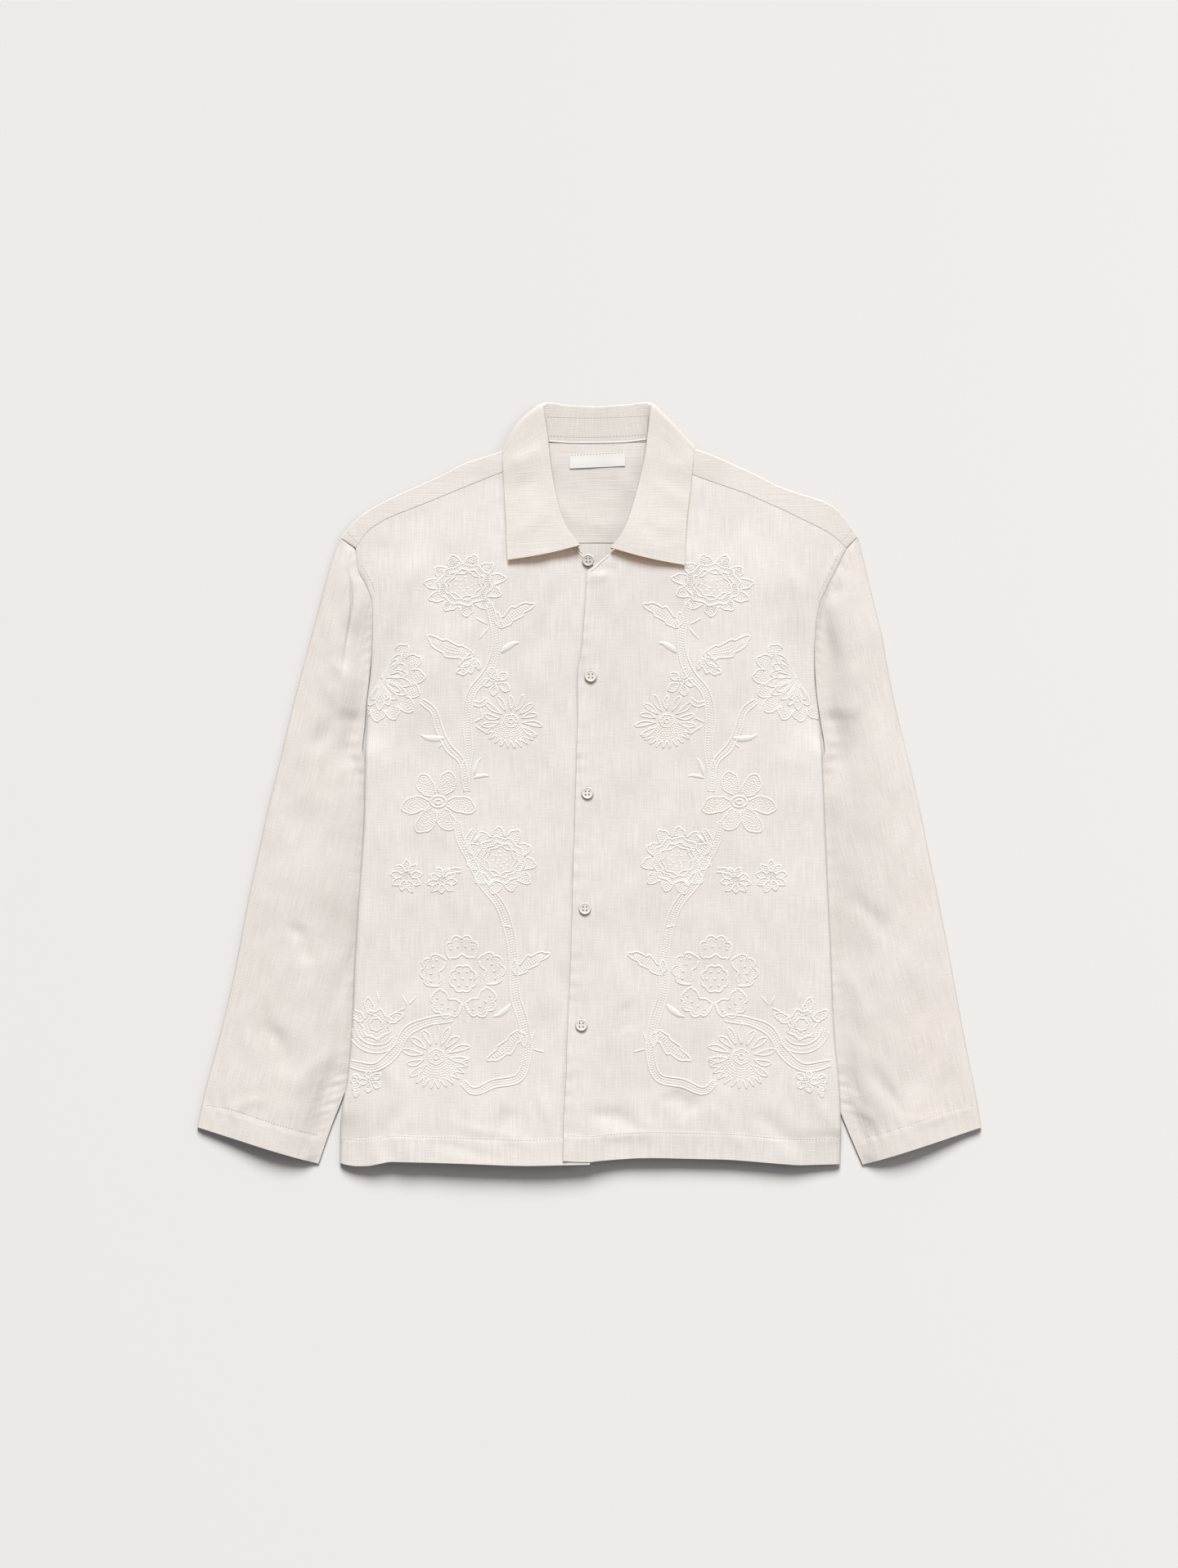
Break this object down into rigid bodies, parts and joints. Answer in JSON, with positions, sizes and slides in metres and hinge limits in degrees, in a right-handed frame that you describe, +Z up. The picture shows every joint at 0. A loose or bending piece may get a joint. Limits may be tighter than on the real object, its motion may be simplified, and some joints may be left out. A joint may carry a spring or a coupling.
{
  "type": "camp shirt",
  "caption": "Men's long-sleeved linen camp shirt laid flat on its back, buttoned, with tone-on-tone flowering branches embroidered on both fronts.",
  "frame": {"origin": "middle of the underside's bounding rectangle, on the surface that the shirt lies on", "axes": "+Z up, away from the surface; +Y from the hem toward the collar; +X toward the wearer's left sleeve"},
  "size_m": [0.7682, 0.7478, 0.0201],
  "materials": {
    "linen": "plain-woven natural linen with a fine fleck",
    "label": "bare woven tab",
    "button": "satin, linen beige"
  },
  "bodies": {
    "root": {"back": "linen", "yoke": "linen", "right_front": "linen", "left_front": "linen", "right_sleeve": "linen", "left_sleeve": "linen", "collar": "linen", "label": "label", "button_1": "button", "button_2": "button", "button_3": "button", "button_4": "button", "button_5": "button"}
  },
  "joints": []
}
